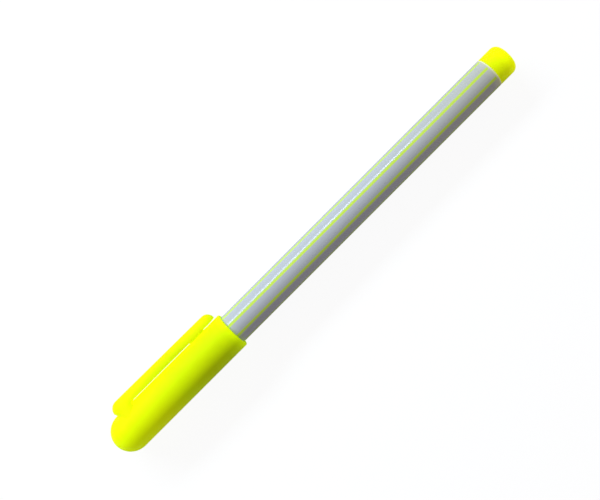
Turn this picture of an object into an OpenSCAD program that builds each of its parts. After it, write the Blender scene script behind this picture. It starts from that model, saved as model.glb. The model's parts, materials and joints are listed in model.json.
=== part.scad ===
// Slim stick highlighter with a clip cap, lying along X.
// +X runs along the pen from the cap's closed end to the tail plug, +Y points to the clip and +Z is up.
// The origin is on the pen's axis, in the middle of the bare stretch of barrel.

/* [Barrel] */
// Outside diameter of the barrel tube
barrel_d = 8.2; // [7:0.1:9.5]
// Length of barrel that stays bare between the cap's mouth and the tail plug
bare_len = 89.8; // [60:0.2:120]
// Wall of the barrel tube
barrel_wall = 0.75; // [0.6:0.05:1]
// Length of the barrel's tapered front end, which stands inside the cap's mouth
lead_len = 1.2; // [0.6:0.1:3]
// How much the tapered front end narrows, on the radius
lead_taper = 0.3; // [0.2:0.05:0.4]
// How far the taper starts outside the cap's mouth
lead_show = 0.1; // [0.05:0.05:0.4]
// Rounding of the barrel's rear rim
rim_round = 0.35; // [0.1:0.05:0.5]

/* [Stripes] */
// Number of coloured stripes let into the barrel
stripe_count = 8; // [4:1:12]
// Width of a stripe
stripe_w = 0.7; // [0.3:0.05:1.2]
// Depth of a stripe in the barrel's wall
stripe_depth = 0.35; // [0.2:0.05:0.5]
// Angle of the first stripe from the clip's side
stripe_turn = 19; // [0:0.5:45]
// Plain band between the stripes' ends and the barrel's rear rim
rim_band = 0.65; // [0.5:0.05:3]

/* [Tail plug] */
// How much smaller the plug's head is than the barrel, on the radius
plug_step = 0; // [0:0.01:0.4]
// Length of the plug's head behind the barrel
plug_len = 6; // [4:0.1:12]
// Bevel of the head's edge beside the barrel's rim
plug_bevel = 0.3; // [0.2:0.05:0.5]
// Rounding of the head's end
plug_round = 1.75; // [0.5:0.05:2.5]
// Radius of the slightly domed end face
plug_crown = 14; // [8:0.5:40]
// Length of the plug's shank inside the barrel
plug_shank_len = 9; // [5:0.5:15]
// Wall of the plug's hollow shank
plug_wall = 0.9; // [0.5:0.05:1.4]
// Depth of the plug's hollow inside the head
plug_hollow = 2; // [0.5:0.1:3]
// Number of sealing rings on the shank
ring_count = 2; // [1:1:3]
// Height of a sealing ring above the shank
ring_h = 0.12; // [0.05:0.01:0.2]
// Width of a sealing ring
ring_w = 0.8; // [0.4:0.1:1.2]

/* [Nib holder] */
// How much smaller the collar is than the barrel, on the radius
collar_step = 0.2; // [0.16:0.01:0.4]
// Length of the collar that the cap's ribs grip
collar_len = 11.8; // [8:0.2:18]
// Length of the tapering nose
nose_len = 12.6; // [8:0.2:18]
// Wall of the nose around the nib at its mouth
nose_lip = 0.5; // [0.3:0.05:0.7]
// How much the nose widens towards the collar, on the radius
nose_taper = 0.55; // [0.2:0.05:0.7]
// Height of the sealing bead above the nose's widest part
bead_h = 0.18; // [0.1:0.01:0.3]
// Round of the sealing bead
bead_round = 0.5; // [0.4:0.05:0.8]
// Distance of the sealing bead from the collar
bead_at = 2; // [1.2:0.1:4]
// Length of the shank that is pressed into the barrel
holder_shank_len = 7; // [4:0.5:12]
// Wall of the holder's shank
holder_wall = 0.75; // [0.5:0.05:1]
// Number of air grooves beside the nib
vent_count = 4; // [2:1:6]
// Width of an air groove
vent_w = 0.5; // [0.3:0.05:0.7]

/* [Nib] */
// Diameter of the nib
nib_d = 3.8; // [3:0.1:4.4]
// Length of nib that stands out of the nose
nib_out = 6.2; // [4:0.1:9]
// Thickness of the nib's writing edge
nib_edge = 1.2; // [0.6:0.1:2]
// Length of the two flats that thin the nib towards its edge
nib_flat_len = 4.6; // [2:0.1:6]
// How far the slanted writing edge falls back across the nib
nib_rake = 2.2; // [0.5:0.1:3.5]
// Length of the nib's thick part behind the nose, inside the collar
nib_seat = 2; // [1:0.1:6]
// Diameter of the nib's thin tail
nib_tail_d = 2.5; // [1.6:0.1:2.8]
// Depth of the tail in the ink reservoir
nib_spear = 6; // [3:0.5:12]

/* [Ink reservoir] */
// Thickness of the film around the reservoir
wrap_t = 0.15; // [0.08:0.01:0.3]
// Radial clearance of the reservoir in the barrel
reservoir_gap = 0.15; // [0.05:0.01:0.4]

/* [Cap] */
// Wall of the cap at its mouth
cap_wall = 0.75; // [0.7:0.05:1.5]
// Radial clearance between the cap's mouth and the barrel
mouth_gap = 0.2; // [0.1:0.01:0.4]
// Rounding of the outer edge of the cap's mouth
mouth_round = 0.3; // [0.1:0.05:0.5]
// Free length in front of the nib inside the cap
tip_room = 3.05; // [1:0.05:6]
// Number of gripping ribs inside the cap
rib_count = 6; // [3:1:8]
// Width of a rib
rib_w = 0.8; // [0.4:0.1:1.4]
// Distance from the barrel's front end to the ribs
rib_clear = 0.8; // [0.3:0.1:4]
// Radial clearance between the ribs and the collar
rib_gap = 0.05; // [0.02:0.01:0.1]

/* [Inner cap] */
// Wall of the inner cap
inner_cap_wall = 0.5; // [0.4:0.05:0.6]
// Thickness of the inner cap's closed end
inner_cap_end = 0.6; // [0.4:0.05:1.5]
// Radial clearance between the inner cap and the sealing bead
seal_gap = 0.05; // [0.02:0.01:0.1]
// Gap between the inner cap's rim and the collar
seat_gap = 0.3; // [0.1:0.05:0.6]

/* [Clip] */
// Distance from the cap's closed end to the clip's nose
clip_nose = 5.2; // [4.8:0.1:8]
// Distance from the cap's mouth back to the clip's free end
clip_short = 1.1; // [0.5:0.1:8]
// Width of the clip at its nose
clip_w = 4.7; // [3.6:0.1:5]
// Width of the clip at its free end
clip_tip_w = 4.2; // [3.2:0.1:4.6]
// Thickness of the clip from its flat inner face to its round outer side
clip_t = 2.5; // [1.8:0.05:3]
// Gap between the clip's flat inner face and the cap
clip_gap = 0.45; // [0.3:0.05:1]
// Distance from the clip's nose to the root that joins it to the cap
root_in = 0.4; // [0.2:0.1:2]
// Length of the root along the cap
root_len = 5; // [3:0.1:8]
// How deep the root's sloping sides are sunk into the clip above and the cap below
root_sink = 0.2; // [0.1:0.05:0.3]
// Height of the notch between the clip's nose and the cap
notch_h = 0.8; // [0.5:0.05:1.2]
// Distance from the clip's free end back to the middle of its gripping bump
bump_back = 6.2; // [4:0.1:12]
// Length of the gripping bump
bump_len = 5.4; // [4:0.1:7]
// Length of the sloping run at each end of the bump
bump_ramp = 0.7; // [0.4:0.1:1.4]
// Width of the gripping bump
bump_w = 3; // [1.5:0.1:3.4]
// Clearance between the bump and the cap
bump_gap = 0.05; // [0.03:0.01:0.2]
// Slit between the springing arm and its root
flex_gap = 0.05; // [0.02:0.01:0.2]

/* [Fits] */
// Radial clearance of pieces that are pressed into each other
press_gap = 0.01; // [0.005:0.005:0.03]
// Radial clearance of the nib in its holder and of its tail in the reservoir
nib_fit = 0.02; // [0.01:0.01:0.05]

/* [Hidden] */
$fn = 96;

// How far joined shapes run into each other, and cutting shapes past what they cut
weld = 0.3;
past = 1;

// Radii, from the nib outwards and from the barrel outwards
barrel_r = barrel_d / 2;
bore_r = barrel_r - barrel_wall;
shank_r = bore_r - press_gap;
collar_r = barrel_r - collar_step;
plug_r = barrel_r - plug_step;
nib_r = nib_d / 2;
nib_bore_r = nib_r + nib_fit;
tail_r = nib_tail_d / 2;
nose_tip_r = nib_bore_r + nose_lip;
nose_base_r = nose_tip_r + nose_taper;
bead_r = nose_base_r + bead_h;
wrap_r = bore_r - reservoir_gap;
core_r = wrap_r - wrap_t;
mouth_r = barrel_r + mouth_gap;
cap_r = mouth_r + cap_wall;
liner_bore_r = bead_r + seal_gap;
liner_r = liner_bore_r + inner_cap_wall;
socket_r = liner_r + press_gap;

// Stations along the pen, from the tail to the cap's closed end
x_rim = bare_len / 2;
x_mouth = -x_rim;
x_front = x_mouth - lead_len;
x_seat = x_front - collar_len;
x_nose = x_seat - nose_len;
x_tip = x_nose - nib_out;
x_dome = x_tip - tip_room - inner_cap_end;
x_end = x_dome - cap_r;
x_plug_end = x_rim + plug_len;
x_core_front = x_front + holder_shank_len;
x_core_back = x_rim - plug_shank_len;
x_nib_step = x_seat + nib_seat;
x_liner_rim = x_seat - seat_gap;

// The clip: its flat face, its round axis and its stations
clip_flat_y = cap_r + clip_gap;
clip_nose_r = clip_w / 2;
clip_tip_r = clip_tip_w / 2;
clip_axis_y = clip_flat_y + clip_t - clip_nose_r;
x_clip_nose = x_end + clip_nose;
x_clip_tip = x_mouth - clip_short;
x_root = x_clip_nose + root_in;
x_flex = x_root + root_len;
x_bump = x_clip_tip - bump_back;
x_nose_ball = x_clip_nose + clip_nose_r;
x_tip_ball = x_clip_tip - clip_tip_r;

// The root: its sides slope along the line that would run smoothly from the clip's round to the cap's
root_lean = asin((cap_r - clip_nose_r) / clip_axis_y);
root_top_r = clip_nose_r - root_sink;
root_foot_r = cap_r - root_sink;
root_top = [root_top_r * cos(root_lean), clip_axis_y + root_top_r * sin(root_lean)];
root_foot = [root_foot_r * cos(root_lean), root_foot_r * sin(root_lean)];

// The plug's end: a rounded edge that runs tangent into a shallow dome
crown_x = x_plug_end - plug_crown;
round_r = plug_r - plug_round;
round_x = crown_x + sqrt(pow(plug_crown - plug_round, 2) - round_r * round_r);
crown_share = plug_crown / (plug_crown - plug_round);

yellow = [0.86, 0.96, 0.05];
lilac_grey = [0.74, 0.74, 0.78];
natural_white = [0.94, 0.94, 0.92];

// A solid turned about the pen's axis from an outline of (radius, station) points
module turned() {
    rotate([0, 90, 0])
        rotate_extrude()
            children();
}

// A rectangle in an outline, between two radii and two stations
module square_from(r_a, x_a, r_b, x_b) {
    translate([r_a, x_a])
        square([r_b - r_a, x_b - x_a]);
}

// A straight or tapered round along the pen, from station a to station b
module round_bar(a, b, r_a, r_b) {
    translate([a, 0, 0])
        rotate([0, 90, 0])
            cylinder(h = b - a, r1 = r_a, r2 = r_b);
}

// A flat section in the pen's cross plane, drawn out from station a to station b
module drawn(a, b) {
    translate([a, 0, 0])
        rotate([0, 90, 0])
            linear_extrude(height = b - a)
                children();
}

// A strip of a ring, of the given width, at an angle from the clip's side
module ring_strip(r_in, r_out, width, angle) {
    rotate(angle)
        intersection() {
            difference() {
                circle(r_out);
                circle(r_in);
            }
            translate([-width / 2, 0])
                square([width, r_out + past]);
        }
}

// The barrel's outside, with its tapered front end and its rounded rear rim
module barrel_outline() {
    polygon([
        [0, x_front],
        [barrel_r - lead_taper, x_front],
        [barrel_r, x_mouth + lead_show],
        [barrel_r, x_rim - rim_round],
        [0, x_rim - rim_round]
    ]);
    square_from(0, x_rim - rim_round - weld, barrel_r - rim_round, x_rim);
    translate([barrel_r - rim_round, x_rim - rim_round])
        circle(rim_round);
}

// The cross section of one stripe's groove, open at the barrel's surface
module stripe_section(i) {
    angle = stripe_turn + (i - 1) * 360 / stripe_count;
    ring_strip(barrel_r - stripe_depth, barrel_r + past, stripe_w, angle);
}

module barrel_tube() {
    color(lilac_grey)
        difference() {
            turned() barrel_outline();
            round_bar(x_front - past, x_rim + past, bore_r, bore_r);
            for (i = [1 : stripe_count])
                drawn(x_front - past, x_rim - rim_band)
                    stripe_section(i);
        }
}

module barrel_stripe(i) {
    color(yellow)
        intersection() {
            turned() barrel_outline();
            drawn(x_front, x_rim - rim_band)
                stripe_section(i);
        }
}

// The plug's head: a bevelled edge, a straight side, a rounded edge and a shallow dome
module plug_head_outline() {
    intersection() {
        union() {
            polygon([
                [0, x_rim],
                [plug_r - plug_bevel, x_rim],
                [plug_r, x_rim + plug_bevel],
                [plug_r, round_x],
                [0, round_x]
            ]);
            translate([round_r, round_x])
                circle(plug_round);
            intersection() {
                translate([0, crown_x])
                    circle(plug_crown);
                polygon([
                    [0, round_x],
                    [round_r, round_x],
                    [round_r * crown_share, crown_x + (round_x - crown_x) * crown_share],
                    [round_r * crown_share, x_plug_end + past],
                    [0, x_plug_end + past]
                ]);
            }
        }
        square_from(0, x_rim, plug_r, x_plug_end + past);
    }
}

module end_plug() {
    ring_pitch = plug_shank_len / (ring_count + 1);
    color(yellow)
        difference() {
            union() {
                turned() plug_head_outline();
                round_bar(x_core_back, x_rim + weld, shank_r - ring_h, shank_r - ring_h);
                for (i = [1 : ring_count])
                    round_bar(
                        x_rim - i * ring_pitch - ring_w / 2,
                        x_rim - i * ring_pitch + ring_w / 2,
                        shank_r, shank_r
                    );
            }
            round_bar(
                x_core_back - past, x_rim + plug_hollow,
                shank_r - plug_wall, shank_r - plug_wall
            );
        }
}

module nib_holder() {
    hollow_r = shank_r - holder_wall;
    color(natural_white)
        difference() {
            union() {
                round_bar(x_nose, x_seat + weld, nose_tip_r, nose_base_r);
                turned()
                    translate([bead_r - bead_round, x_seat - bead_at])
                        circle(bead_round);
                round_bar(x_seat, x_front, collar_r, collar_r);
                round_bar(x_front - weld, x_core_front, shank_r, shank_r);
            }
            round_bar(x_nose - past, x_nib_step + past, nib_bore_r, nib_bore_r);
            round_bar(x_nib_step, x_core_front + past, hollow_r, hollow_r);
            for (i = [1 : vent_count])
                drawn(x_nose - past, x_nib_step + past)
                    rotate(i * 360 / vent_count)
                        translate([-vent_w / 2, 0])
                            square([vent_w, nib_bore_r + vent_w / 2]);
        }
}

module nib() {
    wide = nib_r + past;
    rake_slope = nib_rake / nib_d;
    flat_slope = (nib_d - nib_edge) / 2 / nib_flat_len;
    reach = (wide - nib_edge / 2) / flat_slope;
    x_tail_end = x_core_front + nib_spear;
    color(yellow) {
        intersection() {
            round_bar(x_tip, x_nib_step, nib_r, nib_r);
            translate([0, 0, -wide])
                linear_extrude(height = 2 * wide)
                    polygon([
                        [x_tip - rake_slope * past, wide],
                        [x_tip + nib_rake + rake_slope * past, -wide],
                        [x_nib_step + past, -wide],
                        [x_nib_step + past, wide]
                    ]);
            rotate([90, 0, 0])
                translate([0, 0, -wide])
                    linear_extrude(height = 2 * wide)
                        polygon([
                            [x_tip, -nib_edge / 2],
                            [x_tip + reach, -wide],
                            [x_nib_step + past, -wide],
                            [x_nib_step + past, wide],
                            [x_tip + reach, wide],
                            [x_tip, nib_edge / 2]
                        ]);
        }
        round_bar(x_nib_step - weld, x_tail_end, tail_r, tail_r);
    }
}

module reservoir_core() {
    socket = tail_r + nib_fit;
    color(yellow)
        difference() {
            round_bar(x_core_front, x_core_back, core_r, core_r);
            round_bar(x_core_front - past, x_core_front + nib_spear + nib_fit, socket, socket);
        }
}

module reservoir_wrap() {
    color(natural_white)
        difference() {
            round_bar(x_core_front, x_core_back, wrap_r, wrap_r);
            round_bar(x_core_front - past, x_core_back + past, core_r, core_r);
        }
}

// The clip as one round bar with a flat inner face, from its nose to its free end
module clip_bar() {
    intersection() {
        translate([0, clip_axis_y, 0]) {
            translate([x_nose_ball, 0, 0])
                sphere(clip_nose_r);
            round_bar(x_nose_ball, x_tip_ball, clip_nose_r, clip_tip_r);
            translate([x_tip_ball, 0, 0])
                sphere(clip_tip_r);
        }
        translate([x_clip_nose - past, clip_flat_y, -clip_w])
            cube([x_clip_tip - x_clip_nose + 2 * past, clip_w + clip_t, 2 * clip_w]);
    }
}

// Everything between two stations, as wide and as high as the clip and its root need
module clip_side(a, b) {
    reach = cap_r + clip_w;
    translate([a, 0, -reach])
        cube([b - a, clip_axis_y + reach, 2 * reach]);
}

// The clip's nose and the root under it, which widens towards the cap and has round corners in front
module clip_head() {
    difference() {
        intersection() {
            clip_bar();
            clip_side(x_clip_nose - past, x_flex);
        }
        translate([x_clip_nose - past, 0, -clip_w])
            cube([root_in + past, cap_r + notch_h, 2 * clip_w]);
    }
    intersection() {
        union() {
            drawn(x_nose_ball, x_flex)
                polygon([
                    [-root_foot.x, root_foot.y],
                    root_foot,
                    root_top,
                    [-root_top.x, root_top.y]
                ]);
            translate([x_nose_ball, 0, 0])
                rotate([-90, 0, 0])
                    rotate_extrude()
                        polygon([[0, root_foot.y], root_foot, root_top, [0, root_top.y]]);
        }
        clip_side(x_root, x_flex);
    }
}

module cap_ribs() {
    for (i = [1 : rib_count])
        drawn(x_liner_rim - weld, x_front - rib_clear)
            ring_strip(collar_r + rib_gap, mouth_r + weld, rib_w, i * 360 / rib_count);
}

module cap_outline() {
    square_from(0, x_dome, cap_r, x_mouth - mouth_round);
    square_from(0, x_dome, cap_r - mouth_round, x_mouth);
    translate([cap_r - mouth_round, x_mouth - mouth_round])
        circle(mouth_round);
}

module cap_shell() {
    color(yellow) {
        difference() {
            union() {
                turned() cap_outline();
                translate([x_dome, 0, 0])
                    sphere(cap_r);
                clip_head();
            }
            round_bar(x_liner_rim, x_mouth + past, mouth_r, mouth_r);
            round_bar(x_dome, x_mouth + past, socket_r, socket_r);
            translate([x_dome, 0, 0])
                sphere(socket_r);
        }
        cap_ribs();
    }
}

module inner_cap() {
    color(natural_white)
        difference() {
            round_bar(x_dome, x_liner_rim, liner_r, liner_r);
            round_bar(x_dome + inner_cap_end, x_liner_rim + past, liner_bore_r, liner_bore_r);
        }
}

module pocket_clip() {
    color(yellow) {
        intersection() {
            clip_bar();
            clip_side(x_flex + flex_gap, x_clip_tip + past);
        }
        translate([x_bump, 0, -bump_w / 2])
            linear_extrude(height = bump_w)
                polygon([
                    [-bump_len / 2, clip_flat_y],
                    [bump_ramp - bump_len / 2, cap_r + bump_gap],
                    [bump_len / 2 - bump_ramp, cap_r + bump_gap],
                    [bump_len / 2, clip_flat_y],
                    [bump_len / 2, clip_flat_y + weld],
                    [-bump_len / 2, clip_flat_y + weld]
                ]);
    }
}

barrel_tube();
for (i = [1 : stripe_count])
    barrel_stripe(i);
end_plug();
nib_holder();
nib();
reservoir_core();
reservoir_wrap();
cap_shell();
inner_cap();
pocket_clip();
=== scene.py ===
"""Looks of a slim stick highlighter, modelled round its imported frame.

Sizes are in millimetres and are placed in the frame's metres. X runs along the pen from the cap's closed
end to the tail plug, Y points to the pocket clip and Z is up.
"""

from __future__ import annotations

import json
import logging
import math
from collections.abc import Callable, Sequence
from dataclasses import dataclass, replace
from enum import Enum

import bpy
from bpy.types import Material, Node, NodeSocket, Object, World
from mathutils import Matrix, Vector

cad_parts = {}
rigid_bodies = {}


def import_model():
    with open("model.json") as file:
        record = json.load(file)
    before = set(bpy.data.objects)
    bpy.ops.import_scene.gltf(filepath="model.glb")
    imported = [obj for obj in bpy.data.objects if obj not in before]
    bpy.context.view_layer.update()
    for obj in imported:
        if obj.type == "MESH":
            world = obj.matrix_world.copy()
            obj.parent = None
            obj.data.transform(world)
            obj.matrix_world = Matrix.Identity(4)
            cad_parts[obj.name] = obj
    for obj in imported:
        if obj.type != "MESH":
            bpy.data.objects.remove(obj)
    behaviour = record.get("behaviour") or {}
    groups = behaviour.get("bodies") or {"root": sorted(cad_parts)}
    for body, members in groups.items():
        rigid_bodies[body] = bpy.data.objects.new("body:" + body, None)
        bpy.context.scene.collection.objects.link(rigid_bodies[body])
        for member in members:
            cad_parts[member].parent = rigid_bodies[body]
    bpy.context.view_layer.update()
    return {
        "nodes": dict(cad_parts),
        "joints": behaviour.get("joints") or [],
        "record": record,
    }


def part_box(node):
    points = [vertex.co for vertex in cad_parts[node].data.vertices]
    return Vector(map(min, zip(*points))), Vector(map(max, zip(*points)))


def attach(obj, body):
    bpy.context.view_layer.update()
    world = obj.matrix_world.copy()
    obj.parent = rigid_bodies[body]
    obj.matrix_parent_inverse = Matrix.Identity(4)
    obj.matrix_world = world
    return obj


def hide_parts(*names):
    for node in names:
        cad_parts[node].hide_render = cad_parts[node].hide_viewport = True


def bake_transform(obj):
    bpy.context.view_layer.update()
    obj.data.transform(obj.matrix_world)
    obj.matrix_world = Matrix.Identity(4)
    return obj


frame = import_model()

LOG = logging.getLogger("highlighter")
MM = 0.001
# Distances in millimetres within which points share a row, or a height
SAME_ROW = 0.01
SAME_HEIGHT = 0.001
# Part of a normal along a direction from which a face counts as facing that way
FACING = 0.9
# Share of a gate mark's radius that its flat floor takes
GATE_FLOOR = 0.86

Point = tuple[float, float]
Colour = tuple[float, float, float]
# Station along the pen, red light and green light of a painted glow
Stop = tuple[float, float, float]


class Body(Enum):
    """The moving bodies of the pen."""

    BARREL = "barrel"
    CAP = "cap"
    CLIP = "clip"


class Slot(Enum):
    """The record's material slots."""

    BARREL = "barrel_plastic"
    STRIPE = "stripe_plastic"
    YELLOW = "yellow_plastic"
    WHITE = "white_plastic"
    FIBRE = "ink_fibre"
    FILM = "clear_film"


class Pick(Enum):
    """What is picked on a mesh in edit mode."""

    FACES = "FACE"
    POINTS = "VERT"


@dataclass(frozen=True)
class Stations:
    """Places along the pen and radii that several pieces share, read from the frame, in millimetres."""

    cap_end: float
    dome: float
    nib_tip: float
    nose: float
    liner_rim: float
    front: float
    mouth: float
    rim: float
    plug_end: float
    shank_end: float
    holder_end: float
    barrel_r: float
    cap_r: float
    plug_r: float
    collar_r: float
    nib_r: float
    flex: float
    clip_tip: float
    clip_outer: float
    bump_low: float

    @classmethod
    def from_frame(cls) -> Stations:
        """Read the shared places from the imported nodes, joints and mounts.

        Returns:
            The stations and radii in millimetres.
        """
        boxes = {name: [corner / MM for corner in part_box(name)] for name in frame["nodes"]}
        hinge = next(j for j in frame["joints"] if j["name"] == "clip_flex")
        hold = next(m for m in frame["record"]["mounts"] if m["name"] == "barrel_hold")
        cap, tube, plug = boxes["cap_shell"], boxes["barrel_tube"], boxes["end_plug"]
        holder, nib, liner = boxes["nib_holder"], boxes["nib"], boxes["inner_cap"]
        clip = boxes["pocket_clip"]
        return cls(
            cap_end=cap[0].x,
            dome=liner[0].x,
            nib_tip=nib[0].x,
            nose=holder[0].x,
            liner_rim=liner[1].x,
            front=tube[0].x,
            mouth=cap[1].x,
            rim=tube[1].x,
            plug_end=plug[1].x,
            shank_end=plug[0].x,
            holder_end=holder[1].x,
            barrel_r=hold["dims"]["r_mm"],
            cap_r=cap[1].z,
            plug_r=plug[1].z,
            collar_r=holder[1].z,
            nib_r=nib[1].y,
            flex=hinge["pos_m"][0] / MM,
            clip_tip=clip[1].x,
            clip_outer=hinge["pos_m"][1] / MM,
            bump_low=clip[0].y,
        )


def arc(centre: Point, radius: float, start: float, end: float, steps: int) -> list[Point]:
    """Points along a round stretch of an outline.

    Args:
        centre: The round's centre, as station and radius.
        radius: The round's radius.
        start: Angle of the first point in degrees, from +station towards +radius.
        end: Angle of the last point.
        steps: Number of steps between them.

    Returns:
        The points, ends included.
    """
    turns = [math.radians(start + (end - start) * i / steps) for i in range(steps + 1)]
    return [(centre[0] + radius * math.cos(a), max(centre[1] + radius * math.sin(a), 0.0)) for a in turns]


def angle_about_axis(place: Vector) -> float:
    """Angle of a place about the pen's axis in degrees, from the clip's side."""
    return math.degrees(math.atan2(place.z, place.y))


def angle_between(a: float, b: float) -> float:
    """Smallest difference of two angles in degrees."""
    return abs((a - b + 180) % 360 - 180)


def is_near(a: float, b: float, within: float = SAME_ROW) -> bool:
    """Whether two lengths in millimetres are the same within a little."""
    return abs(a - b) < within


class Bench:
    """Modelling moves that the pieces share, each made with Blender's own operators."""

    @staticmethod
    def edit() -> None:
        """Enter edit mode."""
        bpy.ops.object.mode_set(mode="EDIT")

    @staticmethod
    def leave() -> None:
        """Leave edit mode."""
        bpy.ops.object.mode_set(mode="OBJECT")

    @staticmethod
    def focus(piece: Object) -> None:
        """Select one piece alone and make it active.

        Args:
            piece: The piece.
        """
        bpy.ops.object.select_all(action="DESELECT")
        piece.select_set(True)
        bpy.context.view_layer.objects.active = piece

    @staticmethod
    def lathe(
        name: str, outline: Sequence[Point], steps: int, first: float = 0.0, axis_y: float = 0.0
    ) -> Object:
        """Turn an outline about a line along X.

        Args:
            name: The piece's name.
            outline: Station and radius of each point, in millimetres.
            steps: Number of steps round the axis.
            first: Angle of the first step in degrees, from +Y towards +Z.
            axis_y: Height of the axis along Y, in millimetres.

        Returns:
            The turned object.
        """
        lean = Vector((0.0, math.cos(math.radians(first)), math.sin(math.radians(first))))
        axis = Vector((0.0, axis_y * MM, 0.0))
        points = [axis + Vector((x * MM, 0.0, 0.0)) + lean * (r * MM) for x, r in outline]
        bpy.ops.object.select_all(action="DESELECT")
        bpy.ops.mesh.primitive_plane_add(size=MM)
        piece = bpy.context.object
        piece.name = piece.data.name = name
        Bench.edit()
        bpy.ops.mesh.select_mode(type=Pick.POINTS.value)
        bpy.ops.mesh.select_all(action="SELECT")
        bpy.ops.mesh.merge(type="CENTER")
        bpy.ops.transform.translate(value=points[0])
        for here, there in zip(points, points[1:]):
            bpy.ops.mesh.extrude_vertices_move(TRANSFORM_OT_translate={"value": there - here})
        bpy.ops.mesh.select_all(action="SELECT")
        bpy.ops.mesh.spin(steps=steps, angle=2 * math.pi, center=axis, axis=(1, 0, 0))
        Bench.close_up()
        Bench.leave()
        return piece

    @staticmethod
    def close_up() -> None:
        """Merge doubled points in edit mode and turn all faces outwards."""
        bpy.ops.mesh.select_all(action="SELECT")
        bpy.ops.mesh.remove_doubles(threshold=1e-7)
        bpy.ops.mesh.select_all(action="SELECT")
        bpy.ops.mesh.normals_make_consistent(inside=False)

    @staticmethod
    def unpick(piece: Object, kind: Pick) -> None:
        """Deselect a piece's whole mesh, ready for a pick.

        Args:
            piece: The piece.
            kind: What is picked next.
        """
        Bench.focus(piece)
        Bench.edit()
        bpy.ops.mesh.select_mode(type=kind.value)
        bpy.ops.mesh.select_all(action="DESELECT")
        Bench.leave()

    @staticmethod
    def pick_faces(piece: Object, test: Callable[[Vector, Vector], bool]) -> None:
        """Enter edit mode with the faces selected that pass a test.

        Args:
            piece: The piece to pick from.
            test: Takes a face's centre in millimetres and its normal.
        """
        Bench.unpick(piece, Pick.FACES)
        for face in piece.data.polygons:
            face.select = test(face.center / MM, face.normal)
        Bench.edit()

    @staticmethod
    def pick_points(piece: Object, test: Callable[[Vector], bool]) -> None:
        """Enter edit mode with the points selected that pass a test.

        Args:
            piece: The piece to pick from.
            test: Takes a point in millimetres.
        """
        Bench.unpick(piece, Pick.POINTS)
        for point in piece.data.vertices:
            point.select = test(point.co / MM)
        Bench.edit()

    @staticmethod
    def lift(height: float) -> None:
        """Draw the picked faces out by a height in millimetres, or in if it is negative."""
        bpy.ops.mesh.extrude_region_shrink_fatten(TRANSFORM_OT_shrink_fatten={"value": height * MM})
        Bench.leave()

    @staticmethod
    def cut(piece: Object, place: Vector, outward: Vector) -> None:
        """Cut a piece along a plane, drop what lies outside it and close the cut.

        Args:
            piece: The piece to cut.
            place: A point of the plane, in millimetres.
            outward: The plane's direction towards what is dropped.
        """
        Bench.pick_faces(piece, lambda centre, normal: True)
        bpy.ops.mesh.bisect(plane_co=place * MM, plane_no=outward, use_fill=True, clear_outer=True)
        Bench.leave()

    @staticmethod
    def carve(piece: Object, cutter: Object, crossing: bool = False) -> None:
        """Take a cutter's shape out of a piece and delete the cutter.

        Args:
            piece: The piece.
            cutter: The shape to take out.
            crossing: Whether the cutter's own parts cross each other.
        """
        carving = piece.modifiers.new("carving", "BOOLEAN")
        carving.operation = "DIFFERENCE"
        carving.solver = "EXACT"
        carving.use_self = crossing
        carving.object = cutter
        Bench.apply(piece, "carving")
        bpy.data.objects.remove(cutter)

    @staticmethod
    def soften_edges(piece: Object, width: float, sharper_than: float, rounds: int = 3) -> None:
        """Round off a piece's sharp edges.

        Args:
            piece: The piece.
            width: Width of the rounding in millimetres.
            sharper_than: Least angle of an edge that is rounded, in degrees.
            rounds: Number of segments of the rounding.
        """
        bevel = piece.modifiers.new("edges", "BEVEL")
        bevel.width = width * MM
        bevel.segments = rounds
        bevel.limit_method = "ANGLE"
        bevel.angle_limit = math.radians(sharper_than)
        bevel.use_clamp_overlap = True
        Bench.apply(piece, "edges")

    @staticmethod
    def apply(piece: Object, modifier: str) -> None:
        """Apply one of a piece's modifiers by name."""
        Bench.focus(piece)
        bpy.ops.object.modifier_apply(modifier=modifier)

    @staticmethod
    def smooth(piece: Object, angle: float) -> None:
        """Shade a piece smooth, apart from edges sharper than an angle in degrees."""
        Bench.focus(piece)
        bpy.ops.object.shade_smooth_by_angle(angle=math.radians(angle))

    @staticmethod
    def split_off(name: str) -> Object:
        """Copy the faces selected in edit mode into a piece of their own.

        Args:
            name: Name of the new piece.

        Returns:
            The new piece.
        """
        before = set(bpy.data.objects)
        bpy.ops.mesh.duplicate()
        bpy.ops.mesh.separate(type="SELECTED")
        Bench.leave()
        new = next(o for o in bpy.data.objects if o not in before)
        new.name = new.data.name = name
        return new


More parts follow.
